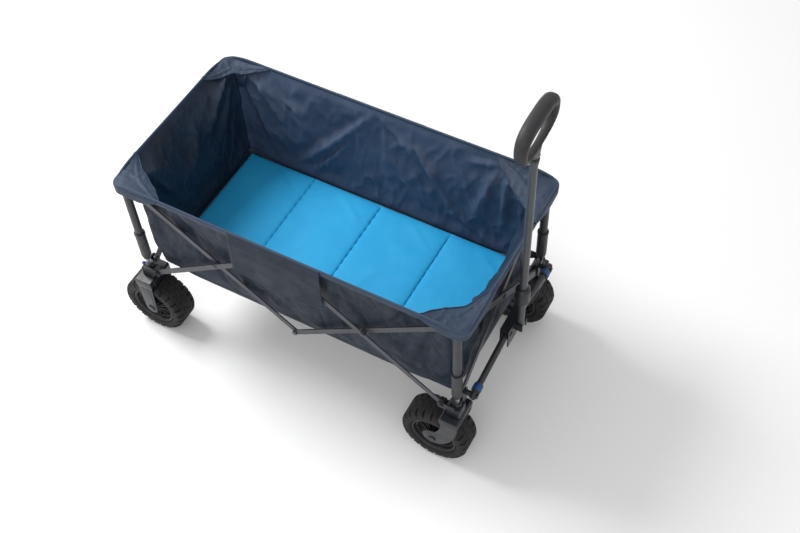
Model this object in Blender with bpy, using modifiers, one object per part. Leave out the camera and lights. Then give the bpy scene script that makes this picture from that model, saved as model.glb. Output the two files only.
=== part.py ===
"""Folding four-wheel wagon: a scissor frame that collapses in length and in width, four braced
corner posts, two fixed rear wheels, two swivelling front wheels, a telescoping pull handle on a
hinged hub, a fabric basket and a four-panel mat.

Metres, +Z up, +X towards the handle. The origin is on the floor, under the middle of the
bounding box. Near side is -Y and far side is +Y; the corners are named rn, rf, fn and ff.
"""

import math

import bmesh
import bpy
from mathutils import Matrix, Vector

# ---------------------------------------------------------------- driving dimensions
FRAME_X = 0.012  # frame centre ahead of the origin, which centres the whole bounding box
POST_X, POST_Y = 0.450, 0.234  # post axes from the frame centre
SIDE_IN, END_IN = 0.0315, 0.02475  # bar pivots inboard of the post axes
LOW_Z, HIGH_Z = 0.242, 0.546  # heights of the lower and upper bar pivots
GAP = 0.0003  # between pieces that touch

WHEEL_R, WHEEL_W, WHEEL_Y = 0.090, 0.073, 0.2315
REAR_WHEEL_X, FRONT_WHEEL_X = -0.4537, 0.400
BLOCK_LOW, BLOCK_TOP = 0.2108, 0.2425  # bracket block at the foot of each post
PLATE_OUT, PLATE_IN, PLATE_T = 0.2692, 0.1938, 0.0035  # fork plates either side of a wheel

INNER_POST_R, INNER_POST_TOP = 0.0070, 0.529
TUBE_R, TUBE_BORE_R, TUBE_LOW = 0.0105, 0.0083, 0.300
HEAD_BLOCK_LOW, HEAD_BLOCK_TOP = 0.536, 0.558

BAR_T, BAR_HALF = 0.0035, 0.0075  # side bars: flat strip
BAR_IN = {"a": 0.2322, "d": 0.2360, "b": 0.2440, "c": 0.2478}  # inner face of each side bar
END_T, END_HALF = 0.0050, 0.0100  # end bars
END_PLANE = {"p": 0.4440, "q": 0.4510}  # inner face of each end bar
ARM_X, ARM_T = 0.4563, 0.0040  # plates that carry the end bars
PIN_R, HOLE_R, HEAD_R = 0.0032, 0.0036, 0.0070

CROSS_X, CROSS_Z, CROSS_R = 0.4815, 0.270, 0.008
HUB_PIVOT_Y, HUB_PIVOT_Z = 0.030, 0.2983
HANDLE_X, STEM_PIVOT_Z = 0.502, 0.309
HOUSING_LOW, HOUSING_TOP = 0.4003, 0.4587
OUTER_LOW, OUTER_TOP = 0.4590, 0.9085
INNER_LOW, INNER_TOP = 0.5450, 0.9120
GRIP_X, GRIP_TOP, GRIP_LOW, GRIP_W = 0.5030, 1.044, 0.9385, 0.172
BUTTON_Z = 0.920

BASKET_X, BASKET_Y, BASKET_LOW = 0.438, 0.228, 0.248
RIM_X, RIM_Y, RIM_LOW, RIM_TOP = 0.477, 0.250, 0.5595, 0.572
BASKET_WALL, BASKET_FLOOR = 0.003, 0.004
MAT_HALF_L, MAT_HALF_W, MAT_LOW, MAT_TOP = 0.416, 0.205, 0.2523, 0.2628

BAR_X = POST_X - SIDE_IN
BAR_Y = POST_Y - END_IN
BAR_L = math.hypot(BAR_X, HIGH_Z - LOW_Z)
END_L = math.hypot(2 * BAR_Y, HIGH_Z - LOW_Z)


# ---------------------------------------------------------------- scene helpers
for old in list(bpy.data.objects):
    bpy.data.objects.remove(old, do_unlink=True)


def collection(name):
    made = bpy.data.collections.new(name)
    bpy.context.scene.collection.children.link(made)
    return made


PARTS = collection("folding_wagon")
TOOLS = collection("cutters")
FRAME = bpy.data.objects.new("frame_centre", None)
FRAME.location = (FRAME_X, 0, 0)
PARTS.objects.link(FRAME)


def material(name, colour, roughness, metallic=0.0):
    made = bpy.data.materials.new(name)
    made.use_nodes = True
    shader = made.node_tree.nodes["Principled BSDF"]
    shader.inputs["Base Color"].default_value = (*colour, 1.0)
    shader.inputs["Roughness"].default_value = roughness
    shader.inputs["Metallic"].default_value = metallic
    return made


STEEL = material("grey_coated_steel", (0.18, 0.19, 0.20), 0.45, 0.4)
DARK_STEEL = material("dark_coated_steel", (0.10, 0.11, 0.13), 0.45, 0.4)
BRIGHT = material("bright_steel", (0.55, 0.56, 0.58), 0.30, 1.0)
BLACK = material("black_plastic", (0.02, 0.021, 0.024), 0.45)
RUBBER = material("tyre_rubber", (0.018, 0.018, 0.019), 0.75)
NAVY = material("navy_fabric", (0.022, 0.033, 0.062), 0.90)
BLUE = material("blue_mat_fabric", (0.010, 0.13, 0.42), 0.85)


def link(name, mesh, location=(0, 0, 0)):
    """A working shape, placed from the frame's centre and hidden until node() takes it."""
    made = bpy.data.objects.new(name, mesh)
    made.parent, made.location = FRAME, location
    made.hide_render, made.display_type = True, "WIRE"
    TOOLS.objects.link(made)
    return made


def axes_matrix(origin, u, v):
    """World matrix whose local X and Y run along u and v."""
    u, v = Vector(u).normalized(), Vector(v).normalized()
    w = u.cross(v)
    turned = Matrix((u, v, w)).transposed().to_4x4()
    return Matrix.Translation(Vector(origin)) @ turned


def box(low, high, bevel=0.0):
    """A rectangular block between two corners."""
    low, high = Vector(low), Vector(high)
    bm = bmesh.new()
    bmesh.ops.create_cube(bm, size=1.0)
    bmesh.ops.scale(bm, vec=high - low, verts=bm.verts)
    mesh = bpy.data.meshes.new("block")
    bm.to_mesh(mesh)
    bm.free()
    made = link("block", mesh, (low + high) / 2)
    if bevel:
        mod = made.modifiers.new("edges", "BEVEL")
        mod.width, mod.segments, mod.limit_method = bevel, 1, "ANGLE"
    return made


def rod(start, end, radius, sides=16):
    """A plain cylinder between two points."""
    start, end = Vector(start), Vector(end)
    bm = bmesh.new()
    bmesh.ops.create_cone(
        bm, cap_ends=True, segments=sides, radius1=radius, radius2=radius,
        depth=(end - start).length,
    )
    mesh = bpy.data.meshes.new("rod")
    bm.to_mesh(mesh)
    bm.free()
    made = link("rod", mesh, (start + end) / 2)
    made.rotation_euler = (end - start).to_track_quat("Z", "Y").to_euler()
    return smooth(made)


def smooth(made):
    made.data.shade_smooth()
    made.data.set_sharp_from_angle(angle=math.radians(40))
    return made


def turned(profile, origin, axis=(0, 0, 1), steps=16, ring=False, phase=0.0):
    """A profile of (radius, height) points, from the top down its outer side, turned about axis.
    A ring profile closes on itself; any other starts and ends on the axis."""
    mesh = bpy.data.meshes.new("profile")
    count = len(profile)
    edges = [(i, i + 1) for i in range(count - 1)] + ([(count - 1, 0)] if ring else [])
    mesh.from_pydata([(r, 0.0, z) for r, z in profile], edges, [])
    made = link("turned", mesh, origin)
    spin = Matrix.Rotation(phase, 3, "Z").to_quaternion()
    made.rotation_euler = (Vector(axis).to_track_quat("Z", "Y") @ spin).to_euler()
    mod = made.modifiers.new("turn", "SCREW")
    mod.steps = mod.render_steps = steps
    mod.use_merge_vertices, mod.merge_threshold = True, 0.00002
    mod.use_smooth_shade = True
    return made


def outline(loops, thickness, matrix, bevel=0.0, bevel_resolution=1):
    """A flat plate: the first loop is its edge and the others are its holes. Its mid plane is the
    local XY plane of matrix. With a bevel, the loops are the outline before rounding."""
    curve = bpy.data.curves.new("outline", "CURVE")
    curve.dimensions, curve.fill_mode = "2D", "BOTH"
    curve.extrude = thickness / 2 - bevel
    curve.bevel_depth, curve.bevel_resolution = bevel, bevel_resolution
    curve.resolution_u = 1
    for loop in loops:
        spline = curve.splines.new("POLY")
        spline.points.add(len(loop) - 1)
        for point, (x, y) in zip(spline.points, loop):
            point.co = (x, y, 0.0, 1.0)
        spline.use_cyclic_u = True
    flat = bpy.data.objects.new("outline", curve)
    TOOLS.objects.link(flat)
    bpy.context.view_layer.update()
    evaluated = flat.evaluated_get(bpy.context.evaluated_depsgraph_get())
    mesh = bpy.data.meshes.new_from_object(evaluated)
    bpy.data.objects.remove(flat, do_unlink=True)
    bm = bmesh.new()
    bm.from_mesh(mesh)
    bmesh.ops.remove_doubles(bm, verts=bm.verts, dist=1e-6)
    bm.to_mesh(mesh)
    bm.free()
    made = link("plate", mesh)
    made.location = matrix.to_translation()
    made.rotation_euler = matrix.to_euler()
    return made


def arc(cx, cy, rx, ry, start, end, count):
    """Points of an ellipse arc, angles in degrees."""
    out = []
    for i in range(count + 1):
        a = math.radians(start + (end - start) * i / count)
        out.append((cx + rx * math.cos(a), cy + ry * math.sin(a)))
    return out


def circle(cx, cy, r, count=8):
    return arc(cx, cy, r, r, 0, 360 - 360 / count, count - 1)


def stadium(length, half):
    """A strip with round ends whose pivots are at 0 and length."""
    return arc(length, 0, half, half, -90, 90, 6) + arc(0, 0, half, half, 90, 270, 6)


def boolean(target, tool, operation):
    mod = target.modifiers.new(operation.lower(), "BOOLEAN")
    mod.operation, mod.object, mod.solver = operation, tool, "EXACT"
    return target


def join(target, *tools):
    for tool in tools:
        boolean(target, tool, "UNION")
    return target


def cut(target, *tools):
    for tool in tools:
        boolean(target, tool, "DIFFERENCE")
    return target


def body(name, x=0.0, y=0.0, z=0.0):
    """An empty on a joint's axis, which carries the pieces that move on that joint."""
    made = bpy.data.objects.new(name, None)
    made.empty_display_size = 0.03
    made.parent, made.location = FRAME, (x, y, z)
    PARTS.objects.link(made)
    return made


def node(made, name, holder, shade):
    """Names a finished piece and hangs it under its body."""
    TOOLS.objects.unlink(made)
    PARTS.objects.link(made)
    made.name = made.data.name = name
    made.hide_render, made.display_type = False, "TEXTURED"
    made.data.materials.clear()
    made.data.materials.append(shade)
    made.location = made.location - holder.location
    made.parent = holder
    return made


def stepped(origin, axis, runs, sides=8):
    """A solid pin of several diameters: runs are (start, end, radius) along axis, touching."""
    runs = sorted(runs)
    profile = [(0.0, runs[-1][1])]
    for start, end, radius in reversed(runs):
        profile += [(radius, end), (radius, start)]
    profile.append((0.0, runs[0][0]))
    return turned(profile, origin, axis, sides, phase=0.19)


# ---------------------------------------------------------------- frame geometry
CORNERS = {"rn": (-1, -1), "rf": (-1, 1), "fn": (1, -1), "ff": (1, 1)}
SIDES = {"near": -1, "far": 1}
ENDS = {"rear": -1, "front": 1}
STRAP = {-1: 0.2482, 1: 0.2517}  # inner face of the lower strap, outside bar b or bar c


def bracket(key):
    """Foot of a post: a block, a strap for the side bar and an arm for the end bar."""
    e, s = CORNERS[key]
    strap = STRAP[e]
    outer = strap + 0.004
    made = box(
        (min(e * 0.433, e * 0.467), min(s * 0.2200, s * outer), BLOCK_LOW),
        (max(e * 0.433, e * 0.467), max(s * 0.2200, s * outer), BLOCK_TOP),
        bevel=0.0025,
    )
    # strap outside the side bar, from the block to its pivot
    at = axes_matrix((e * (POST_X - 0.006), s * (strap + 0.002), LOW_Z), (-e, 0, 0), (0, 0, 1))
    join(made, outline([stadium(SIDE_IN - 0.006, 0.0115)], 0.004, at))
    face_in = BAR_IN["b" if e < 0 else "c"]
    join(made, stepped(
        (e * BAR_X, 0, LOW_Z), (0, s, 0),
        [(face_in - 0.0035, face_in - GAP, HEAD_R), (face_in - GAP, strap + 0.002, PIN_R),
         (strap + 0.002, outer + 0.0025, 0.0055)],
    ))
    # arm outside the end bars, from the block to the end bar's pivot
    at = axes_matrix((e * (ARM_X + ARM_T / 2), s * (POST_Y - 0.006), LOW_Z),
                     (0, -s, 0), (0, 0, 1))
    rise = CROSS_Z - LOW_Z if e > 0 else 0.0  # the front arms also carry the lower cross tube
    loop = arc(END_IN - 0.006, 0, 0.0115, 0.0115, -90, 0, 4)
    loop += arc(END_IN - 0.006, rise, 0.0115, 0.0115, 0 if rise else 22.5, 90, 4)
    loop += [(0.0040, rise + 0.0115), (0.0040, 0.0)]  # clear of the inner post
    loop += arc(0, 0, 0.0115, 0.0115, 180, 270, 4)
    join(made, outline([loop], ARM_T, at))
    plane = END_PLANE["p" if s < 0 else "q"]
    join(made, end_pin(e, s * BAR_Y, LOW_Z, plane))
    if e > 0:
        join(made, stepped(
            (0, s * BAR_Y, CROSS_Z), (1, 0, 0),
            [(ARM_X + 0.002, CROSS_X - CROSS_R - GAP, HEAD_R),
             (CROSS_X - CROSS_R - GAP, CROSS_X + CROSS_R + GAP, 0.0036),
             (CROSS_X + CROSS_R + GAP, CROSS_X + CROSS_R + 0.003, HEAD_R)],
        ))
    return made


def end_pin(e, y, z, plane):
    """The pin on an arm that an end bar turns on: boss, pin through the bar and inner head."""
    runs = [(plane - 0.0030, plane - GAP, HEAD_R)]
    if ARM_X - (plane + END_T) > 0.001:
        runs += [(plane - GAP, plane + END_T + GAP, PIN_R),
                 (plane + END_T + GAP, ARM_X + 0.002, HEAD_R)]
    else:
        runs += [(plane - GAP, ARM_X + 0.002, PIN_R)]
    return stepped((0, y, z), (e, 0, 0), runs)


def upper_tube(key):
    """Hollow upper post with its head block and the arms for the upper bar ends."""
    e, s = CORNERS[key]
    x, y = e * POST_X, s * POST_Y
    made = turned(
        [(TUBE_R, HEAD_BLOCK_TOP - 0.008), (TUBE_R, TUBE_LOW),
         (TUBE_BORE_R, TUBE_LOW), (TUBE_BORE_R, HEAD_BLOCK_TOP - 0.008)],
        (x, y, 0), steps=16, ring=True,
    )
    join(made, box((x - 0.0125, y - 0.0125, HEAD_BLOCK_LOW),
                   (x + 0.0125, y + 0.0125, HEAD_BLOCK_TOP), bevel=0.002))
    bar = "a" if e < 0 else "d"
    arm = BAR_IN[bar] + BAR_T + GAP
    at = axes_matrix((x - e * 0.006, s * (arm + 0.002), HIGH_Z), (-e, 0, 0), (0, 0, 1))
    join(made, outline([stadium(SIDE_IN - 0.006, 0.0095)], 0.004, at))
    join(made, stepped(
        (e * BAR_X, 0, HIGH_Z), (0, s, 0),
        [(BAR_IN[bar] - 0.0032, BAR_IN[bar] - GAP, HEAD_R),
         (BAR_IN[bar] - GAP, arm + 0.002, PIN_R)],
    ))
    at = axes_matrix((e * (ARM_X + ARM_T / 2), y - s * 0.006, HIGH_Z), (0, -s, 0), (0, 0, 1))
    join(made, outline([stadium(END_IN - 0.006, 0.0095)], ARM_T, at))
    join(made, end_pin(e, s * BAR_Y, HIGH_Z, END_PLANE["q" if s < 0 else "p"]))
    return made


def sleeve(key):
    """Plastic sleeve at the foot of the upper tube, with a collar ring at its top."""
    e, s = CORNERS[key]
    return turned(
        [(0.0145, 0.378), (0.0145, 0.371), (0.0135, 0.370), (0.0135, 0.290), (0.0105, 0.277),
         (0.0076, 0.277), (0.0076, 0.298), (TUBE_R + GAP, 0.298), (TUBE_R + GAP, 0.378)],
        (e * POST_X, s * POST_Y, 0), steps=16, ring=True,
    )


def fork(key):
    """Two plates beside the wheel, joined over it by a crown."""
    e, s = CORNERS[key]
    if e < 0:  # straight plates that taper down to the axle
        axle_x = REAR_WHEEL_X
        loop = [(axle_x - 0.0230, 0.2085), (axle_x - 0.0185, WHEEL_R - 0.004)]
        loop += arc(axle_x, WHEEL_R - 0.001, 0.0180, 0.0180, 190, 350, 8)
        loop += [(axle_x + 0.0185, WHEEL_R - 0.004), (axle_x + 0.0230, 0.2085)]
        crown = (-0.478, -0.430)
        top = BLOCK_LOW - GAP
    else:  # crescents that sweep back to a trailing axle
        axle_x = FRONT_WHEEL_X
        loop = arc(0.398, 0.205, 0.073, 0.131, 0, -90, 9)
        loop += arc(0.398, 0.0985, 0.0245, 0.0245, -90, -270, 6)[1:]
        loop += arc(0.398, 0.205, 0.029, 0.082, -90, 0, 6)[1:]
        crown = (0.412, 0.477)
        top = BLOCK_LOW - 0.0013
    low, high = PLATE_IN - PLATE_T, PLATE_OUT + PLATE_T
    made = box((crown[0], min(s * low, s * high), 0.184),
               (crown[1], max(s * low, s * high), top), bevel=0.003)
    for middle in (PLATE_OUT + PLATE_T / 2, PLATE_IN - PLATE_T / 2):
        at = axes_matrix((0, s * middle, 0), (1, 0, 0), (0, 0, 1))
        join(made, outline([loop, circle(axle_x, WHEEL_R, 0.0066, 12)], PLATE_T - 0.0004, at))
    return made, axle_x


def wheel(key, axle_x):
    """Axle with its heads, rim and tyre, about the wheel's own axis."""
    s = CORNERS[key][1]
    spot, axis = (axle_x, s * WHEEL_Y, WHEEL_R), (0, s, 0)
    out = PLATE_OUT + PLATE_T + GAP - WHEEL_Y
    inn = PLATE_IN - PLATE_T - GAP - WHEEL_Y
    axle = stepped(spot, axis, [(inn - 0.003, inn, 0.010), (inn, out, 0.0060),
                                (out, out + 0.003, 0.010)], sides=12)
    rim = turned(
        [(0.0610, 0.030), (0.0610, -0.030), (0.052, -0.030), (0.050, -0.006), (0.016, -0.006),
         (0.016, -0.0345), (0.0065, -0.0345), (0.0065, 0.0345), (0.016, 0.0345),
         (0.016, 0.006), (0.050, 0.006), (0.052, 0.030)],
        spot, axis, steps=20, ring=True,
    )
    half = WHEEL_W / 2
    tyre = turned(
        [(WHEEL_R, half - 0.009), (WHEEL_R, 0.009 - half), (WHEEL_R - 0.007, -half),
         (0.066, -half), (0.0618, -0.031), (0.0618, 0.031), (0.066, half),
         (WHEEL_R - 0.007, half)],
        spot, axis, steps=28, ring=True,
    )
    return axle, rim, tyre


def side_bar(which, s):
    """One flat bar of the side scissors. a and d cross b and c; b and c carry the bosses."""
    x0, z0, x1, z1 = {
        "a": (0.0, LOW_Z, -BAR_X, HIGH_Z), "b": (-BAR_X, LOW_Z, 0.0, HIGH_Z),
        "c": (BAR_X, LOW_Z, 0.0, HIGH_Z), "d": (0.0, LOW_Z, BAR_X, HIGH_Z),
    }[which]
    run = Vector((x1 - x0, 0, z1 - z0)).normalized()
    inner = BAR_IN[which]
    at = axes_matrix((x0, s * (inner + BAR_T / 2), z0), run, (-run.z, 0, run.x))
    holes = {"a": (0.5, 1), "b": (0,), "c": (0, 1), "d": (0, 0.5, 1)}[which]
    loops = [stadium(BAR_L, BAR_HALF)] + [circle(BAR_L * h, 0, HOLE_R) for h in holes]
    made = outline(loops, BAR_T, at)
    middle = ((x0 + x1) / 2, 0, (z0 + z1) / 2)
    if which in "bc":  # boss, pin and inner head at the crossing
        other = BAR_IN["a" if which == "b" else "d"]
        join(made, stepped(
            middle, (0, s, 0),
            [(other - 0.0032, other - GAP, HEAD_R), (other - GAP, other + BAR_T + GAP, PIN_R),
             (other + BAR_T + GAP, inner + 0.001, HEAD_R)],
        ))
        join(made, stepped(middle, (0, s, 0), [(inner + 0.002, inner + BAR_T + 0.002, 0.006)]))
    if which in "ab":  # pin and outer head at the middle joint with the front bar
        joint = (0.0, 0, LOW_Z if which == "a" else HIGH_Z)
        far = BAR_IN["d" if which == "a" else "c"] + BAR_T + GAP
        join(made, stepped(
            joint, (0, s, 0), [(inner + 0.001, far, PIN_R), (far, far + 0.003, HEAD_R)],
        ))
    return made


def end_bar(which, e):
    """One bar of an end scissor: p rises from near to far and q from far to near."""
    y0 = -BAR_Y if which == "p" else BAR_Y
    run = Vector((0, -2 * y0, HIGH_Z - LOW_Z)).normalized()
    plane = END_PLANE[which]
    at = axes_matrix((e * (plane + END_T / 2), y0, LOW_Z), run, (0, -run.z, run.y))
    holes = (0, 1) if which == "p" else (0, 0.5, 1)
    loops = [stadium(END_L, END_HALF)] + [circle(END_L * h, 0, HOLE_R) for h in holes]
    made = outline(loops, END_T, at)
    if which == "p":
        out = END_PLANE["q"]
        join(made, stepped(
            (0, 0, (LOW_Z + HIGH_Z) / 2), (e, 0, 0),
            [(plane + 0.002, out - GAP, HEAD_R), (out - GAP, out + END_T + GAP, PIN_R),
             (out + END_T + GAP, out + END_T + 0.003, HEAD_R)],
        ))
    return made


def cross_tube(s):
    """Half of the front lower cross tube, from the corner's collar pin up to the hub."""
    start = Vector((CROSS_X, s * BAR_Y, CROSS_Z))
    end = Vector((CROSS_X, s * HUB_PIVOT_Y, HUB_PIVOT_Z))
    run = (end - start).normalized()
    made = rod(start - run * 0.010, end + run * 0.006, CROSS_R, 16)
    join(made, rod(start + run * 0.009, start + run * 0.031, 0.011, 16))
    wide = Vector((0.03, 0, 0))
    cut(made, rod(start - wide, start + wide, 0.0041, 12))
    if s < 0:
        cut(made, rod(end - wide, end + wide, 0.0041, 12))
    return made


def handle_hub():
    """Block over the inner ends of the cross tube, open below, with ears for the stem."""
    inner = CROSS_R + 0.0004
    made = box((CROSS_X - inner - 0.0037, -0.047, 0.262),
               (CROSS_X + inner + 0.0026, 0.047, 0.326), bevel=0.0)
    cut(made, box((CROSS_X - inner, -0.06, 0.20), (CROSS_X + inner, 0.06, 0.3105)))
    wall = CROSS_X + inner
    for y in (-0.0138, 0.0098):
        join(made, box((wall + 0.001, y, 0.297), (HANDLE_X + 0.0105, y + 0.004, 0.3225)))
    join(made, rod((HANDLE_X, -0.0118, STEM_PIVOT_Z), (HANDLE_X, 0.0118, STEM_PIVOT_Z),
                   0.0035, 12))
    join(made, stepped(
        (0, -HUB_PIVOT_Y, HUB_PIVOT_Z), (1, 0, 0),
        [(CROSS_X - inner - 0.0060, CROSS_X - inner - 0.001, HEAD_R),
         (CROSS_X - inner - 0.001, CROSS_X + inner + 0.001, 0.0036),
         (CROSS_X + inner + 0.001, CROSS_X + inner + 0.0045, HEAD_R)],
    ))
    return made


def power_curve(angle, power):
    """Cosine and sine of an angle, squared off towards a rounded rectangle."""
    c, k = math.cos(angle), math.sin(angle)
    return (math.copysign(abs(c) ** (2 / power), c), math.copysign(abs(k) ** (2 / power), k))


def surface(rows, close_rows=False):
    """A closed skin over rings of points; open ends are capped with a flat face."""
    n, m = len(rows), len(rows[0])
    points = [p for row in rows for p in row]
    faces = []
    for i in range(n if close_rows else n - 1):
        for j in range(m):
            a, b = i * m + j, i * m + (j + 1) % m
            c, d = (i + 1) % n * m + (j + 1) % m, (i + 1) % n * m + j
            faces.append((a, b, c, d))
    if not close_rows:
        faces += [tuple(range(m)), tuple(range(len(points) - m, len(points)))]
    mesh = bpy.data.meshes.new("surface")
    mesh.from_pydata(points, [], faces)
    bm = bmesh.new()
    bm.from_mesh(mesh)
    bmesh.ops.recalc_face_normals(bm, faces=bm.faces)
    bm.to_mesh(mesh)
    bm.free()
    return smooth(link("surface", mesh))


def grip():
    """Upright loop grip: a thick top bar, slimmer sides and a thin lower bar on a flared neck."""
    top_b, side_b, low_b = 0.0160, 0.0105, 0.0055  # half the bar's height in the loop's plane
    high, low = GRIP_TOP - top_b, GRIP_LOW + low_b
    middle, half = (high + low) / 2, (high - low) / 2
    rows, count = [], 48
    centre = []
    for i in range(count):
        c, k = power_curve(2 * math.pi * i / count, 3.0)
        drop = max(0.0, -k)
        y = (GRIP_W / 2 - side_b) * c * (1 - 0.09 * drop ** 1.5)
        centre.append((y, middle + half * k - 0.005 * drop * (1 - abs(y) / 0.08)))
    for i, (y, z) in enumerate(centre):
        (y0, z0), (y1, z1) = centre[i - 1], centre[(i + 1) % count]
        along = Vector((y1 - y0, z1 - z0)).normalized()
        up = max(0.0, (z - middle) / half) ** 1.5
        down = max(0.0, (middle - z) / half) ** 1.5
        deep = side_b + (top_b - side_b) * up - (side_b - low_b) * down
        wide = 0.0140 + 0.0024 * up - 0.0045 * down
        row = []
        for j in range(12):
            c, k = power_curve(2 * math.pi * j / 12, 2.3)
            row.append((GRIP_X + wide * c, y + along.y * deep * k, z - along.x * deep * k))
        rows.append(row)
    made = surface(rows, True)
    neck = []
    for z, a, b in ((0.9123, 0.0105, 0.0115), (0.9160, 0.0108, 0.0125), (0.9250, 0.0108, 0.0165),
                    (0.9330, 0.0102, 0.0235), (0.9390, 0.0090, 0.0310), (0.9415, 0.0055, 0.0320)):
        share = (z - 0.9123) / 0.0292
        neck.append([(HANDLE_X + (GRIP_X - HANDLE_X) * share + a * math.cos(math.pi * j / 12 + 0.1),
                      b * math.sin(math.pi * j / 12 + 0.1), z) for j in range(24)])
    join(made, surface(neck))
    return cut(made, rod((HANDLE_X + 0.0010, 0, BUTTON_Z), (HANDLE_X + 0.03, 0, BUTTON_Z),
                         0.0042, 12))


def rounded_slab(half_x, half_y, corner, low, high):
    """An upright block with round corners in plan."""
    loop = []
    for start, (kx, ky) in zip((0, 90, 180, 270), ((1, 1), (-1, 1), (-1, -1), (1, -1))):
        loop += arc(kx * (half_x - corner), ky * (half_y - corner), corner, corner,
                    start, start + 90, 4)
    at = axes_matrix((0, 0, (low + high) / 2), (1, 0, 0), (0, 1, 0))
    return outline([loop], high - low, at)


def basket():
    """Fabric tub: floor, four walls and the rim that is folded out over the frame."""
    made = rounded_slab(BASKET_X, BASKET_Y, 0.030, BASKET_LOW, RIM_TOP)
    join(made, rounded_slab(RIM_X, RIM_Y, 0.040, RIM_LOW, RIM_TOP - 0.0002))
    t = BASKET_WALL
    cut(made, rounded_slab(BASKET_X - t, BASKET_Y - t, 0.030 - t,
                           BASKET_LOW + BASKET_FLOOR, RIM_TOP + 0.05))
    return made


# ---------------------------------------------------------------- bodies and nodes
for key, (e, s) in CORNERS.items():
    foot = body("corner_" + key, e * POST_X, s * POST_Y, LOW_Z)
    node(bracket(key), "bracket_" + key, foot, BLACK)
    node(rod((e * POST_X, s * POST_Y, BLOCK_TOP + GAP),
             (e * POST_X, s * POST_Y, INNER_POST_TOP), INNER_POST_R, 16),
         "inner_post_" + key, foot, BRIGHT)
    bar_end = -BAR_X if e < 0 else BAR_X
    upper = body("upper_" + key, bar_end, s * POST_Y, HIGH_Z)
    node(upper_tube(key), "upper_tube_" + key, upper, STEEL)
    node(sleeve(key), "sleeve_" + key, upper, BLACK)
    plates, axle_x = fork(key)
    carrier = foot if e < 0 else body("caster_" + key, e * POST_X, s * POST_Y, BLOCK_LOW)
    node(plates, "fork_" + key, carrier, STEEL)
    axle, rim, tyre = wheel(key, axle_x)
    node(axle, "axle_" + key, carrier, BRIGHT)
    spin = body("wheel_" + key, axle_x, s * WHEEL_Y, WHEEL_R)
    node(rim, "rim_" + key, spin, BLACK)
    node(tyre, "tyre_" + key, spin, RUBBER)

for side, s in SIDES.items():
    for which in "abcd":
        x, z = {"a": (-BAR_X / 2, None), "b": (-BAR_X, LOW_Z), "c": (0.0, HIGH_Z),
                "d": (BAR_X / 2, None)}[which]
        z = (LOW_Z + HIGH_Z) / 2 if z is None else z
        pivot = body(f"side_{which}_{side}", x, s * BAR_IN[which], z)
        node(side_bar(which, s), f"side_bar_{which}_{side}", pivot, STEEL)

for end, e in ENDS.items():
    for which in "pq":
        y, z = (-BAR_Y, LOW_Z) if which == "p" else (0.0, (LOW_Z + HIGH_Z) / 2)
        pivot = body(f"end_{which}_{end}", e * END_PLANE[which], y, z)
        node(end_bar(which, e), f"end_bar_{which}_{end}", pivot, DARK_STEEL)

for side, s in SIDES.items():
    pivot = body("cross_" + side, CROSS_X, s * BAR_Y, CROSS_Z)
    node(cross_tube(s), "cross_tube_" + side, pivot, DARK_STEEL)

hub = body("hub", CROSS_X, -HUB_PIVOT_Y, HUB_PIVOT_Z)
node(handle_hub(), "handle_hub", hub, BLACK)

handle = body("handle", HANDLE_X, 0, STEM_PIVOT_Z)
stem = rod((HANDLE_X, 0, STEM_PIVOT_Z), (HANDLE_X, 0, HOUSING_LOW - GAP), 0.0090, 24)
join(stem, rod((HANDLE_X, -0.0090, STEM_PIVOT_Z), (HANDLE_X, 0.0090, STEM_PIVOT_Z), 0.0088, 24))
cut(stem, rod((HANDLE_X, -0.03, STEM_PIVOT_Z), (HANDLE_X, 0.03, STEM_PIVOT_Z), 0.0039, 12))
node(stem, "handle_stem", handle, STEEL)
node(turned([(0, HOUSING_TOP), (0.0125, HOUSING_TOP), (0.0177, HOUSING_TOP - 0.006),
             (0.0177, HOUSING_LOW + 0.012), (0.0125, HOUSING_LOW), (0, HOUSING_LOW)],
            (HANDLE_X, 0, 0), steps=20), "handle_lock_housing", handle, BLACK)
node(turned([(0, 0.520), (0.0081, 0.520), (0.0081, OUTER_TOP), (0.0108, OUTER_TOP),
             (0.0108, OUTER_TOP - 0.016), (0.0093, OUTER_TOP - 0.018), (0.0093, OUTER_LOW),
             (0, OUTER_LOW)], (HANDLE_X, 0, 0), steps=20), "handle_outer_tube", handle, STEEL)

slider = body("handle_slider", HANDLE_X, 0, INNER_TOP)
inner = turned([(0.0077, INNER_TOP), (0.0077, INNER_LOW), (0.0060, INNER_LOW),
                (0.0060, INNER_TOP)], (HANDLE_X, 0, 0), steps=20, ring=True)
node(inner, "handle_inner_tube", slider, BRIGHT)
node(grip(), "handle_grip", slider, BLACK)
press = body("button", HANDLE_X, 0, BUTTON_Z)
node(stepped((HANDLE_X, 0, BUTTON_Z), (1, 0, 0),
             [(0.0045, 0.0105, 0.0038), (0.0105, 0.0128, 0.0030)]),
     "handle_button", press, BRIGHT)

sling = body("basket_hang", -BAR_X, -POST_Y, HIGH_Z)
node(basket(), "basket", sling, NAVY)

panel = MAT_HALF_L / 2
for i in range(4):
    x0 = -MAT_HALF_L + panel * i
    fold = body(f"mat_{i + 1}", x0, 0, MAT_TOP)
    pad = box((x0 + 0.0005, -MAT_HALF_W, MAT_LOW), (x0 + panel - 0.0005, MAT_HALF_W, MAT_TOP),
              bevel=0.002)
    node(pad, f"mat_panel_{i + 1}", fold, BLUE)
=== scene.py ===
"""Looks of a folding beach wagon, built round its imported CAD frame.

Metres, +X towards the handle, -Y the near side, +Z up. Lengths along X are measured from the
frame's centre, which is FX ahead of the origin; solid() adds FX to every vertex. In CORNERS, e is
-1 at the rear end and 1 at the front, and s is -1 on the near side and 1 on the far side. A wall
is "long" (near or far) or "end" (rear or front), with the same signs.
"""
import math

import bmesh
import bpy
import numpy as np
from mathutils import Matrix, Vector, noise


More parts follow.
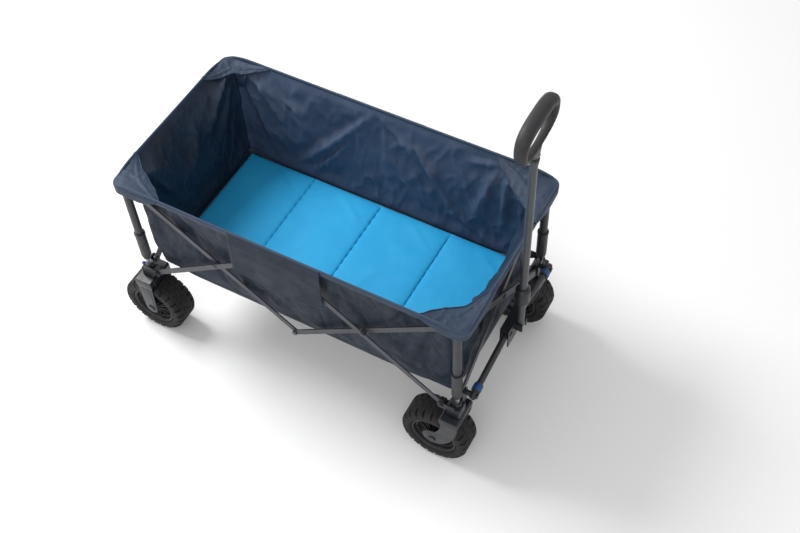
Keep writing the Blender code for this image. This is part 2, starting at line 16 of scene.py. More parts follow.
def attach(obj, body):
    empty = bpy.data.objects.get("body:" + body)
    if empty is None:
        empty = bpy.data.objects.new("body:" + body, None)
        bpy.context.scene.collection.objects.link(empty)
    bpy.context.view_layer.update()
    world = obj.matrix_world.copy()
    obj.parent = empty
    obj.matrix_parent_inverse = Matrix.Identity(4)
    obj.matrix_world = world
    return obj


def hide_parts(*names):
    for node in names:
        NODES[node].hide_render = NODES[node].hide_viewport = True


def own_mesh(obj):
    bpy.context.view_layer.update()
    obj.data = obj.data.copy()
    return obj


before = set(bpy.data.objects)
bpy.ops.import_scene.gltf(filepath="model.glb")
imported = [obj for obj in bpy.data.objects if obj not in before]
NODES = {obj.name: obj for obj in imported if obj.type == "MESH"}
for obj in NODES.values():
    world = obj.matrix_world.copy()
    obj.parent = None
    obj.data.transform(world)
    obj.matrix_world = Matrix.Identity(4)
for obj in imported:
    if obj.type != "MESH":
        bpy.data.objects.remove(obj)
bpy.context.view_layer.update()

FX = 0.012
POST_X, POST_Y = 0.450, 0.234
WHEEL_Y, AXLE_Z = 0.2315, 0.090
AXLE_X = {-1: -0.4537, 1: 0.400}
CORNERS = {"rn": (-1, -1), "rf": (-1, 1), "fn": (1, -1), "ff": (1, 1)}

# ------------------------------------------------------------------ materials


class Paint:
    """A node material: new() adds a node and sets or links its inputs by name or index."""

    def __init__(self, name, **principled):
        self.made = bpy.data.materials.new(name)
        self.made.use_nodes = True
        self.tree = self.made.node_tree
        self.out = self.tree.nodes["Principled BSDF"]
        self.place = self.tree.nodes.new("ShaderNodeTexCoord").outputs["Object"]
        self.set(self.out, principled)

    def set(self, node, inputs):
        for key, value in inputs.items():
            socket = node.inputs[key.replace("_", " ") if isinstance(key, str) else key]
            if isinstance(value, bpy.types.NodeSocket):
                self.tree.links.new(value, socket)
            else:
                socket.default_value = value
        return node

    def new(self, kind, props=None, by_index=None, **inputs):
        node = self.tree.nodes.new("ShaderNode" + kind)
        for key, value in (props or {}).items():
            setattr(node, key, value)
        self.set(node, by_index or {})
        return self.set(node, inputs)

    def noise(self, scale, detail=2.0, rough=0.5):
        made = self.new("TexNoise", Vector=self.place, Scale=scale, Detail=detail,
                        Roughness=rough)
        return made.outputs["Fac"]

    def span(self, value, low, high, to_low=0.0, to_high=1.0):
        made = self.new("MapRange", None, {0: value, 1: low, 2: high, 3: to_low, 4: to_high})
        return made.outputs[0]

    def maths(self, what, a, b=0.0):
        return self.new("Math", {"operation": what}, {0: a, 1: b}).outputs[0]

    def mix(self, factor, a, b):
        a, b = ((*c, 1.0) if isinstance(c, tuple) else c for c in (a, b))
        return self.new("Mix", {"data_type": "RGBA"}, {0: factor, 6: a, 7: b}).outputs[2]

    def bump(self, height, strength, distance, normal=None):
        made = self.new("Bump", None, None, Height=height, Strength=strength, Distance=distance)
        if normal is not None:
            self.set(made, {"Normal": normal})
        return made.outputs["Normal"]

    def edges(self, radius):
        """A softened normal at edges, and how much of an edge each point is."""
        soft = self.new("Bevel", {"samples": 4}, Radius=radius).outputs["Normal"]
        flat = self.new("NewGeometry").outputs["Normal"]
        dot = self.new("VectorMath", {"operation": "DOT_PRODUCT"}, {0: soft, 1: flat})
        return soft, self.span(dot.outputs["Value"], 0.80, 0.985, 1.0, 0.0)


def woven(name, colour, pale, across="XZ", thread=0.0011, rough=0.58, sheen=0.07, bump=0.5):
    """Coated polyester: a fine plain weave, faded patches, painted shade in the weave's hollows
    and painted highlights on fold crests.
    """
    m = Paint(name)
    height = None
    for direction in across:
        wave = m.new("TexWave", {"bands_direction": direction}, None, Vector=m.place,
                     Scale=0.314 / thread, Distortion=0.8, Detail=1.0).outputs["Fac"]
        height = wave if height is None else m.maths("MULTIPLY", height, wave)
    patches = m.span(m.noise(7.0, 4.0, 0.6), 0.35, 0.68)
    fibre = m.span(m.noise(520.0, 2.0), 0.3, 0.7)
    tone = m.mix(m.maths("MULTIPLY", patches, 0.45), colour, pale)
    tone = m.mix(m.maths("MULTIPLY", fibre, 0.22), tone, pale)
    # painted shade: the weave's hollows are painted darker, where shade falls between the threads
    shade = tuple(c * 0.72 for c in colour)
    tone = m.mix(m.maths("MULTIPLY", m.span(height, 0.05, 0.0), 0.5), tone, shade)
    # painted highlight: fold crests are painted paler, where the folds catch the light
    crest = m.span(m.new("NewGeometry").outputs["Pointiness"], 0.505, 0.56)
    tone = m.mix(m.maths("MULTIPLY", crest, 0.5), tone, pale)
    slub = m.maths("MULTIPLY", m.noise(60.0, 3.0), 0.5)
    relief = m.maths("ADD", height, slub)
    m.set(m.out, {"Base Color": tone, "Sheen Weight": sheen, "Sheen Roughness": 0.45,
                  "Sheen Tint": (*pale, 1.0), "Specular IOR Level": 0.27,
                  "Roughness": m.span(m.noise(30.0), 0.3, 0.7, rough - 0.07, rough + 0.08),
                  "Normal": m.bump(relief, bump, 0.00025)})
    return m.made


def coated(name, colour, rough, metallic=0.0, worn=(0.35, 0.35, 0.36), wear=0.5, grain=900.0,
           relief=0.15, radius=0.0009, shine=0.38):
    """Powder coat or moulded plastic: orange-peel grain, softened edges and rubbed corners."""
    m = Paint(name, Metallic=metallic)
    soft, edge = m.edges(radius)
    rubbed = m.span(m.noise(55.0, 5.0, 0.65), 0.42, 0.66)
    scuff = m.maths("MULTIPLY", m.maths("MULTIPLY", edge, rubbed), wear)
    dust = m.span(m.noise(9.0, 5.0, 0.6), 0.45, 0.75)
    dusty = tuple(min(1.0, c * 1.25 + 0.008) for c in colour)
    tone = m.mix(m.maths("MULTIPLY", dust, 0.6), colour, dusty)
    tone = m.mix(scuff, tone, worn)
    peel = m.noise(grain, 2.0)
    m.set(m.out, {"Base Color": tone, "Specular IOR Level": shine,
                  "Roughness": m.span(m.noise(40.0, 3.0), 0.3, 0.7, rough - 0.06, rough + 0.08),
                  "Normal": m.bump(peel, relief, 0.0003, soft)})
    return m.made


NAVY, NAVY_PALE = (0.0055, 0.0110, 0.0215), (0.018, 0.032, 0.058)
INDIGO, INDIGO_PALE = (0.034, 0.053, 0.094), (0.072, 0.102, 0.165)
SLATE, SLATE_PALE = (0.012, 0.022, 0.042), (0.034, 0.056, 0.098)
WALL_LONG = woven("navy_fabric_long", NAVY, NAVY_PALE, "XZ")
WALL_END = woven("navy_fabric_end", NAVY, NAVY_PALE, "YZ")
INSIDE_LONG = woven("lining_long", INDIGO, INDIGO_PALE, "XZ", rough=0.46, sheen=0.10)
# painted shade: the end walls' lining is a darker copy of the long walls' lining, standing in for
# the shade inside the ends
LINING_END_SHADED = woven("lining_end_painted_shade", NAVY, (0.026, 0.044, 0.082), "YZ", rough=0.50, sheen=0.04)
FLOOR_CLOTH = woven("navy_fabric_floor", NAVY, NAVY_PALE, "XY")
HEM = woven("slate_hem", SLATE, SLATE_PALE, "XY", 0.0009, 0.56, 0.12)
MAT = woven("blue_mat", (0.010, 0.285, 0.580), (0.032, 0.380, 0.660), "XY", 0.0010, 0.6, 0.12)
STEEL = coated("grey_powder_coat", (0.066, 0.069, 0.075), 0.36, 0.35, (0.42, 0.42, 0.43), 0.5)
DARK_STEEL = coated("dark_powder_coat", (0.034, 0.036, 0.040), 0.38, 0.35)
POST = coated("post_grey", (0.036, 0.038, 0.043), 0.40, 0.3, (0.30, 0.30, 0.31), 0.3)
BAR = coated("bar_grey", (0.046, 0.050, 0.058), 0.38, 0.3, (0.36, 0.37, 0.38), 0.4)
BRIGHT = coated("zinc_plate", (0.36, 0.37, 0.39), 0.30, 0.9, (0.7, 0.7, 0.7), 0.3, 400.0, 0.1)
BLACK = coated("black_nylon", (0.017, 0.018, 0.022), 0.40, 0.0, (0.10, 0.10, 0.11), 0.5)
HOUSING = coated("navy_housing", (0.0060, 0.0070, 0.0110), 0.36, 0.0, (0.12, 0.13, 0.17), 0.3)
FORK_GREY = coated("fork_grey", (0.026, 0.028, 0.032), 0.38, 0.1, (0.35, 0.36, 0.38), 0.6)
GRIP = coated("soft_touch_grey", (0.018, 0.018, 0.020), 0.55, 0.0, (0.12, 0.12, 0.12), 0.3,
              1400.0, 0.35)
NECK = coated("grip_neck_grey", (0.070, 0.070, 0.071), 0.42)
BLUE = coated("blue_nylon", (0.004, 0.050, 0.170), 0.38, 0.0, (0.08, 0.20, 0.50), 0.5)
RIM = coated("rim_nylon", (0.016, 0.016, 0.018), 0.45, 0.0, (0.07, 0.07, 0.075), 0.6)
TYRE = coated("tyre_rubber", (0.0065, 0.0065, 0.0070), 0.72, 0.0, (0.055, 0.054, 0.052), 0.8,
              700.0, 0.5, 0.0012)

# ------------------------------------------------------------------ mesh helpers


def link(name, mesh):
    """A new object in the scene."""
    made = bpy.data.objects.new(name, mesh)
    bpy.context.scene.collection.objects.link(made)
    return made


def solid(name, vertices, faces, material, angle=40, closed=True):
    """A mesh object from points measured from the frame's centre."""
    mesh = bpy.data.meshes.new(name)
    mesh.from_pydata([(v[0] + FX, v[1], v[2]) for v in vertices], [], faces)
    bm = bmesh.new()
    bm.from_mesh(mesh)
    bmesh.ops.remove_doubles(bm, verts=bm.verts, dist=1e-6)
    if closed:
        bmesh.ops.recalc_face_normals(bm, faces=bm.faces)
    bm.to_mesh(mesh)
    bm.free()
    mesh.materials.append(material)
    mesh.shade_smooth()
    mesh.set_sharp_from_angle(angle=math.radians(angle))
    return link(name, mesh)


def modify(obj, kind, **settings):
    """Adds a modifier and applies it, so the piece's mesh is final."""
    mod = obj.modifiers.new(kind.lower(), kind)
    for key, value in settings.items():
        setattr(mod, key, value)
    bpy.context.view_layer.update()
    shaped = obj.evaluated_get(bpy.context.evaluated_depsgraph_get())
    mesh = bpy.data.meshes.new_from_object(shaped)
    obj.modifiers.clear()
    old, obj.data = obj.data, mesh
    bpy.data.meshes.remove(old)
    return obj


def quads(n, m, start=0, wrap_n=False, wrap_m=False):
    """Faces of an n by m grid of points, stored row by row, that may close on itself."""
    out = []
    for i in range(n if wrap_n else n - 1):
        for j in range(m if wrap_m else m - 1):
            a, b = i * m + j, i * m + (j + 1) % m
            c, d = ((i + 1) % n) * m + (j + 1) % m, ((i + 1) % n) * m + j
            out.append((start + a, start + b, start + c, start + d))
    return out


def cloth(name, points, material, thick=0.0014, lining=None, outward=None):
    """A sheet through an n by m by 3 array of points, given its thickness and maybe a lining."""
    n, m = points.shape[:2]
    made = solid(name, points.reshape(-1, 3), quads(n, m), material, 60, False)
    if lining:
        made.data.materials.append(lining)
    modify(made, "SOLIDIFY", thickness=thick, offset=0.0, use_even_offset=False,
           material_offset=1 if lining else 0)
    if lining:  # the grid's winding decides which face came first, so look and swap if needed
        faces = [f for f in made.data.polygons if f.material_index == 0]
        if sum(f.normal.dot(Vector(outward)) * f.area for f in faces) < 0:
            made.data.materials[0], made.data.materials[1] = lining, material
    return made


def sweep(path, section):
    """Points and faces of a section of (out, up) pairs carried along an open path."""
    path = np.asarray(path, float)
    run = np.gradient(path, axis=0)
    run /= np.linalg.norm(run, axis=1)[:, None]
    side = np.cross(run, np.array((0.0, 0.0, 1.0)))
    side /= np.linalg.norm(side, axis=1)[:, None]
    rise = np.cross(side, run)
    points = [p + s * a + r * b for p, s, r in zip(path, side, rise) for a, b in section]
    k = len(section)
    faces = quads(len(path), k, wrap_m=True)
    faces.append(tuple(range(k)))
    faces.append(tuple(reversed(range(len(points) - k, len(points)))))
    return points, faces


def tube(name, path, section, material):
    """An object with one section all along an open path."""
    return solid(name, *sweep(path, section), material, 50)


def ring_of(radius_a, radius_b, count=10):
    """An oval section for sweep."""
    return [(radius_a * math.cos(2 * math.pi * i / count),
             radius_b * math.sin(2 * math.pi * i / count)) for i in range(count)]


def turned(profile, origin, axis, steps=32, ring=False):
    """Points and faces of a profile of (radius, along) pairs turned about an axis."""
    spin = Vector(axis).to_track_quat("Z", "Y").to_matrix()
    points = []
    for i in range(steps):
        a = 2 * math.pi * i / steps
        for r, z in profile:
            v = spin @ Vector((r * math.cos(a), r * math.sin(a), z))
            points.append((v.x + origin[0], v.y + origin[1], v.z + origin[2]))
    return points, quads(steps, len(profile), wrap_n=True, wrap_m=ring)


def plate(loops, low, high, bevel, segments):
    """Points and faces of a flat outline in X and Z with holes, extruded along Y between two
    places and rounded at its edges."""
    curve = bpy.data.curves.new("outline", "CURVE")
    curve.dimensions, curve.fill_mode = "2D", "BOTH"
    curve.extrude = (high - low) / 2 - bevel
    curve.bevel_depth, curve.bevel_resolution, curve.offset = bevel, segments, -bevel
    for loop in loops:
        spline = curve.splines.new("POLY")
        spline.points.add(len(loop) - 1)
        for point, (x, y) in zip(spline.points, loop):
            point.co = (x, y, 0.0, 1.0)
        spline.use_cyclic_u = True
    flat = link("outline", curve)
    bpy.context.view_layer.update()
    shaped = flat.evaluated_get(bpy.context.evaluated_depsgraph_get())
    mesh = bpy.data.meshes.new_from_object(shaped)
    bpy.data.objects.remove(flat, do_unlink=True)
    middle = (low + high) / 2
    points = [(v.co.x, v.co.z + middle, v.co.y) for v in mesh.vertices]
    faces = [tuple(f.vertices) for f in mesh.polygons]
    bpy.data.meshes.remove(mesh)
    return points, faces


def gather(name, parts, angle=40):
    """One object from several (points, faces, material) parts."""
    made = []
    for i, (points, faces, material) in enumerate(parts):
        made.append(solid(f"{name}.{i}", points, faces, material, angle))
    first = made[0]
    if len(made) > 1:
        with bpy.context.temp_override(active_object=first, object=first,
                                       selected_objects=made, selected_editable_objects=made):
            bpy.ops.object.join()
    first.name = first.data.name = name
    return first


def arc(cx, cy, rx, ry, start, end, count):
    """Points of an elliptical arc between two angles in degrees."""
    return [(cx + rx * math.cos(math.radians(start + (end - start) * i / count)),
             cy + ry * math.sin(math.radians(start + (end - start) * i / count)))
            for i in range(count + 1)]


def circle(cx, cy, r, count=20):
    return arc(cx, cy, r, r, 0, 360 - 360 / count, count - 1)


def smoothstep(v, low, high):
    t = np.clip((v - low) / (high - low), 0.0, 1.0)
    return t * t * (3 - 2 * t)


def own(obj, body, slot, *nodes):
    """Rides a piece on a body and hides the CAD nodes it replaces; slot is not used."""
    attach(obj, body)
    if nodes:
        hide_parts(*nodes)
    return obj


# ------------------------------------------------------------------ fabric shell
WALL_X, WALL_Y, WALL_R = 0.4350, 0.2240, 0.030  # half sizes and corner radius of the walls
RIM_X, RIM_Y, RIM_R = 0.4750, 0.2485, 0.022  # the same of the rim, outside the frame
BEND = 0.945  # share of a wall's half that is straight
BASE_Z, CORNER_TOP = 0.2505, 0.556  # foot of the walls, and their top at the corners
FOOT_RISE, FOOT_BOW = 0.028, 0.003  # how far the foot lifts at a corner and at the middle
TUCK, FOOT_R = 0.011, 0.018  # how far the foot is drawn in, and its corner radius there
BAR_SLOPE = 0.7264  # rise of the scissor bars per metre along the wall
BAR_FOOT = {"long": 0.264, "end": 0.424}  # height just over the bars at the middle of a wall
BAR_HEAD = {"long": 0.5535, "end": 0.5550}  # where a wall is clear of the bars' upper ends
ROLL_START = 0.5560  # above this height a wall rolls out onto the rim
FOLD_GAIN = 1.9  # the folds below are this much deeper than listed


def outline_point(hx, hy, r, kind, sign, q):
    """Plan position on a rounded rectangle: q runs from -1 to 1 between two corner middles."""
    main, cross = (hx, hy) if kind == "long" else (hy, hx)
    turn = np.clip((np.abs(q) - BEND) / (1 - BEND), 0, 1) * math.pi / 4
    along = np.where(np.abs(q) <= BEND, q / BEND * (main - r),
                     np.sign(q) * (main - r + r * np.sin(turn)))
    out = sign * (cross - r + r * np.cos(turn))
    return (along, out) if kind == "long" else (out, along)


def rim_height(kind, sign, q):
    """The rim sags a little between its corners and drops at each of them."""
    corner = np.exp(-(((1 - np.abs(q)) / (0.085 if kind == "long" else 0.16)) ** 2))
    top = {("long", -1): 0.5770, ("long", 1): 0.5775, ("end", -1): 0.5755, ("end", 1): 0.5690}
    dip = {("end", 1): 0.0045}.get((kind, sign), 0.0010)
    mid = np.cos(np.clip(q, -1, 1) * math.pi / 2) ** 2
    return top[(kind, sign)] - dip * mid - (top[(kind, sign)] - 0.5640) * corner


def ridge(x, z, start, end, height, width, skew=1.5):
    """A soft fold from start to end: a crest with a hollow beside it, fading at both ends."""
    dx, dz = end[0] - start[0], end[1] - start[1]
    length = math.hypot(dx, dz)
    t = ((x - start[0]) * dx + (z - start[1]) * dz) / length ** 2
    off = ((x - start[0]) * dz - (z - start[1]) * dx) / length
    fade = np.sin(math.pi * np.clip(t, 0, 1)) ** 0.7
    spread = width * (0.55 + 0.9 * np.clip(t, 0, 1))
    crest = np.exp(-(np.abs(off / spread) ** 1.5))
    hollow = np.exp(-(((off - skew * spread) / (1.3 * spread)) ** 2))
    return height * fade * (crest - 0.55 * hollow)


def rumple(x, z, seed, size, height, sharp=False):
    """Gentle unevenness, or with sharp the thin raised creases of a crumpled sheet."""
    out = np.zeros(x.size)
    for i, (px, pz) in enumerate(zip(x.ravel(), z.ravel())):
        point = Vector((px / size, pz / size, seed))
        value = noise.noise(point) + 0.45 * noise.noise(point * 2.3)
        out[i] = max(0.0, 1 - 2.6 * abs(value)) ** 2 if sharp else value
    return out.reshape(x.shape) * height


# the main folds of each wall: where each starts and ends (along the wall, up), height and width
FOLDS = {
    ("long", 1): [  # far wall
        ((-0.030, 0.560), (-0.285, 0.262), 0.0075, 0.013),
        ((-0.095, 0.440), (-0.225, 0.270), 0.0050, 0.011),
        ((-0.069, 0.540), (-0.088, 0.340), 0.0030, 0.012),
        ((-0.003, 0.560), (0.010, 0.380), 0.0035, 0.012),
        ((-0.020, 0.566), (0.165, 0.420), 0.0050, 0.014),
        ((0.130, 0.470), (0.245, 0.258), 0.0050, 0.012),
        ((0.215, 0.330), (0.340, 0.250), 0.0035, 0.010),
        ((0.096, 0.515), (0.166, 0.400), 0.0050, 0.010),
        ((0.034, 0.440), (0.132, 0.268), 0.0030, 0.014),
        ((0.340, 0.556), (0.225, 0.530), 0.0045, 0.010),
        ((0.318, 0.540), (0.246, 0.300), 0.0060, 0.016),
        ((0.350, 0.545), (0.338, 0.300), 0.0060, 0.014),
        ((0.385, 0.520), (0.398, 0.330), 0.0040, 0.012),
        ((-0.398, 0.520), (-0.345, 0.330), 0.0055, 0.013),
        ((-0.375, 0.540), (-0.300, 0.420), 0.0040, 0.010),
        ((-0.265, 0.525), (-0.230, 0.400), 0.0035, 0.014),
        ((-0.300, 0.505), (-0.225, 0.470), 0.0030, 0.010),
    ],
    ("long", -1): [  # near wall
        ((-0.330, 0.560), (-0.200, 0.300), 0.0040, 0.018),
        ((-0.190, 0.440), (-0.060, 0.275), 0.0035, 0.016),
        ((0.020, 0.430), (-0.040, 0.280), 0.0030, 0.015),
        ((0.150, 0.540), (0.110, 0.330), 0.0035, 0.016),
        ((0.330, 0.560), (0.210, 0.290), 0.0045, 0.016),
        ((0.395, 0.540), (0.330, 0.300), 0.0045, 0.013),
        ((-0.400, 0.530), (-0.360, 0.320), 0.0035, 0.012),
        ((0.270, 0.330), (0.380, 0.275), 0.0030, 0.012),
    ],
    ("end", -1): [  # rear wall
        ((0.195, 0.530), (0.120, 0.400), 0.0045, 0.012),
        ((0.160, 0.545), (0.050, 0.440), 0.0040, 0.012),
        ((0.060, 0.550), (-0.050, 0.350), 0.0035, 0.018),
        ((-0.165, 0.540), (-0.100, 0.400), 0.0035, 0.014),
        ((-0.190, 0.520), (-0.185, 0.320), 0.0030, 0.012),
    ],
    ("end", 1): [  # front wall
        ((0.195, 0.530), (0.130, 0.350), 0.0050, 0.013),
        ((0.120, 0.540), (0.060, 0.300), 0.0040, 0.014),
        ((-0.010, 0.545), (0.020, 0.330), 0.0040, 0.016),
        ((-0.120, 0.540), (-0.060, 0.330), 0.0045, 0.014),
        ((-0.190, 0.530), (-0.150, 0.300), 0.0045, 0.012),
    ],
}


def wall(kind, sign, n, m):
    """Grid of points of one wall from its foot up to the rim: q runs along it, t up it."""
    q = np.repeat(np.linspace(-1, 1, n)[:, None], m, 1)
    t = np.repeat(np.linspace(0, 1, m)[None, :], n, 0)
    lip = outline_point(RIM_X, RIM_Y, RIM_R, kind, sign, q)
    corner = smoothstep(np.abs(q), 0.900, 0.955)
    top = rim_height(kind, sign, q) * (1 - corner) + CORNER_TOP * corner
    rise = FOOT_RISE * smoothstep(np.abs(q), 0.70, 1.0) ** 1.3
    foot = BASE_Z + rise + FOOT_BOW * (1 - np.abs(q))
    z = foot + t * (top - foot)
    tuck = TUCK * (1 - smoothstep(z - foot, 0.0, 0.055))  # drawn in under the mat's edge
    radius = WALL_R - (WALL_R - FOOT_R) * tuck / TUCK
    rearward = q < 0 if kind == "long" else sign < 0
    hang = outline_point(WALL_X - tuck * rearward, WALL_Y - tuck, radius, kind, sign, q)
    # above the scissor bars outside it the wall leans out, then rolls onto the rim
    along = hang[0] if kind == "long" else hang[1]
    free = np.minimum(BAR_FOOT[kind] + BAR_SLOPE * np.abs(along), BAR_HEAD[kind])
    lean = 0.74 * np.clip((z - free) / np.maximum(ROLL_START - free, 0.002), 0, 1) ** 1.2
    roll = np.clip((z - ROLL_START) / np.maximum(top - ROLL_START, 0.004), 0, 1)
    flare = (lean + (1 - lean) * roll ** 0.9) * (1 - corner)
    x = hang[0] * (1 - flare) + lip[0] * flare
    y = hang[1] * (1 - flare) + lip[1] * flare
    line = x if kind == "long" else y
    depth = sum(ridge(line, z, *fold) for fold in FOLDS[(kind, sign)])
    seed = 3.1 + sign + 7 * (kind == "end")
    depth = FOLD_GAIN * depth + rumple(line, z, seed, 0.085, 0.0042)
    depth = depth + rumple(line, z, seed + 5.2, 0.030, 0.0014)
    slant = 0.45 * line
    depth = depth + rumple(line, (z + slant) * 0.55, seed + 2.7, 0.075, 0.0046, True)
    depth = depth + rumple(line, (z - slant) * 0.60, seed + 9.1, 0.055, 0.0030, True)
    calm = smoothstep(t, 0.0, 0.10) * (1 - smoothstep(top - z, 0.045, 0.0))
    calm = calm * (1 - 0.55 * smoothstep(np.abs(q), 0.93, 1.0))
    depth = np.clip(depth, -0.0032, 0.0175) * calm
    bow = 0.004 * np.sin(math.pi * t) * np.cos(q * math.pi / 2)
    inward = depth + bow * (0.3 if kind == "long" else 1.0)
    if kind == "long":
        y = y - sign * inward
    else:
        x = x - sign * inward
    return np.stack([x, y, z], -1)


HOLDER = {("long", -1): "upper_rn", ("end", -1): "upper_rn", ("long", 1): "upper_rf",
          ("end", 1): "upper_fn"}
NAME = {("long", -1): "near", ("end", -1): "rear", ("long", 1): "far", ("end", 1): "front"}


def shrink(obj, kind):
    """Gives a fabric piece its own copy of its mesh."""
    if kind == "long":
        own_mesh(obj)
    else:
        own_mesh(obj)


# section of the rim's hem as (out, up) pairs: a rolled top and a flat tail outside the wall
HEM_SECTION = [(-0.0026, -0.0050), (-0.0028, 0.0000), (-0.0020, 0.0022), (0.0000, 0.0030),
               (0.0020, 0.0022), (0.0028, 0.0000), (0.0030, -0.0115), (0.0020, -0.0125),
               (0.0010, -0.0115), (0.0006, -0.0050), (-0.0008, -0.0062)]


for kind, sign in FOLDS:
    label = NAME[(kind, sign)]
    n, m = (170, 62) if kind == "long" else (96, 62)
    points = wall(kind, sign, n, m)
    material = WALL_LONG if kind == "long" else WALL_END
    lining = INSIDE_LONG if kind == "long" else LINING_END_SHADED
    made = cloth(f"wall_{label}", points, material, 0.0014, lining,
                 (0, sign, 0) if kind == "long" else (sign, 0, 0))
    own(made, HOLDER[(kind, sign)], "basket_fabric", "basket")
    qs = np.linspace(-1, 1, n)
    rx, ry = outline_point(RIM_X, RIM_Y, RIM_R, kind, sign, qs)
    line = np.stack([rx, ry, rim_height(kind, sign, qs) - 0.0005], -1)
    outside = sign * (1 if kind == "end" else -1)
    section = [(outside * a, b) for a, b in HEM_SECTION]
    hem = tube(f"hem_{label}", line, section, HEM)
    own(hem, HOLDER[(kind, sign)], "basket_fabric", "basket")
    shrink(made, kind)
    shrink(hem, kind)

# floor of the bag, in three lengthwise strips that slide over each other as the wagon closes
FLOOR = {"near": (-1, "upper_rn"), "middle": (0, "hub"), "far": (1, "upper_rf")}
FLOOR_Z = 0.2499
STRIP_IN, STRIP_MID = 0.0745, 0.0760  # side strips' inner edge, middle strip's half width


def foot_rise(distance, half):
    """How far the foot of a wall stands above the flat floor, by distance from its middle."""
    q = min(1.0, abs(distance) * BEND / (half - FOOT_R))
    return FOOT_RISE * float(smoothstep(q, 0.70, 1.0)) ** 1.3 + FOOT_BOW * (1 - q)


for label, (sign, holder) in FLOOR.items():
    n, m = 120, 30
    grid = np.zeros((n, m, 3))
    for i, u in enumerate(np.sin(np.linspace(-math.pi / 2, math.pi / 2, n))):
        reach = WALL_X - TUCK * (u < 0)
        x = u * (reach + 0.0006)
        past = max(0.0, abs(x) - (reach - FOOT_R))
        half = WALL_Y - TUCK - FOOT_R + math.sqrt(max(0.0, FOOT_R ** 2 - past ** 2))
        at_end = float(smoothstep(abs(x), reach - 0.006, reach)) ** 2
        for j, v in enumerate(np.linspace(0, 1, m)):
            if sign:
                y = STRIP_IN + (half - STRIP_IN) * v ** 0.8
            else:
                y = -STRIP_MID + 2 * STRIP_MID * v
            at_side = float(smoothstep(abs(y), half - 0.006, half)) ** 2 if sign else 0.0
            lift = max(at_side * foot_rise(x, reach),
                       at_end * foot_rise(y, WALL_Y - TUCK))
            grid[i, j] = (x, y * (sign or 1), FLOOR_Z + lift - (0.0 if sign else 0.0008))
    made = cloth(f"floor_{label}", grid, FLOOR_CLOTH, 0.0012)
    own(made, holder, "basket_fabric", "basket")
    if sign:
        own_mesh(made)
    else:
        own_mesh(made)


def through(points, count):
    """A smooth curve through a few points (Catmull-Rom), evenly parametrised."""
    points = [np.asarray(p, float) for p in points]
    points = [2 * points[0] - points[1]] + points + [2 * points[-1] - points[-2]]
    out = []
    for t in np.linspace(0, len(points) - 3, count):
        i = min(int(t), len(points) - 4)
        u = t - i
        a, b, c, d = points[i:i + 4]
        out.append(0.5 * (2 * b + (c - a) * u + (2 * a - 5 * b + 4 * c - d) * u * u
                          + (3 * b - a - 3 * c + d) * u ** 3))
    return np.array(out)


# how far each corner pocket reaches along the end and the long side, and the points that its
# inner edge passes through between them
POCKET = {
    "rn": (0.102, 0.137, [(0.424, 0.183), (0.374, 0.211)]),
    "rf": (0.104, 0.132, [(0.448, 0.172), (0.424, 0.204), (0.392, 0.219)]),
    "ff": (0.147, 0.166, [(0.440, 0.137), (0.394, 0.174), (0.343, 0.215)]),
    "fn": (0.158, 0.112, [(0.460, 0.128), (0.430, 0.172), (0.392, 0.206)]),
}
SKIRT_ROWS = 5  # rows of a pocket's grid that hang outside the rim


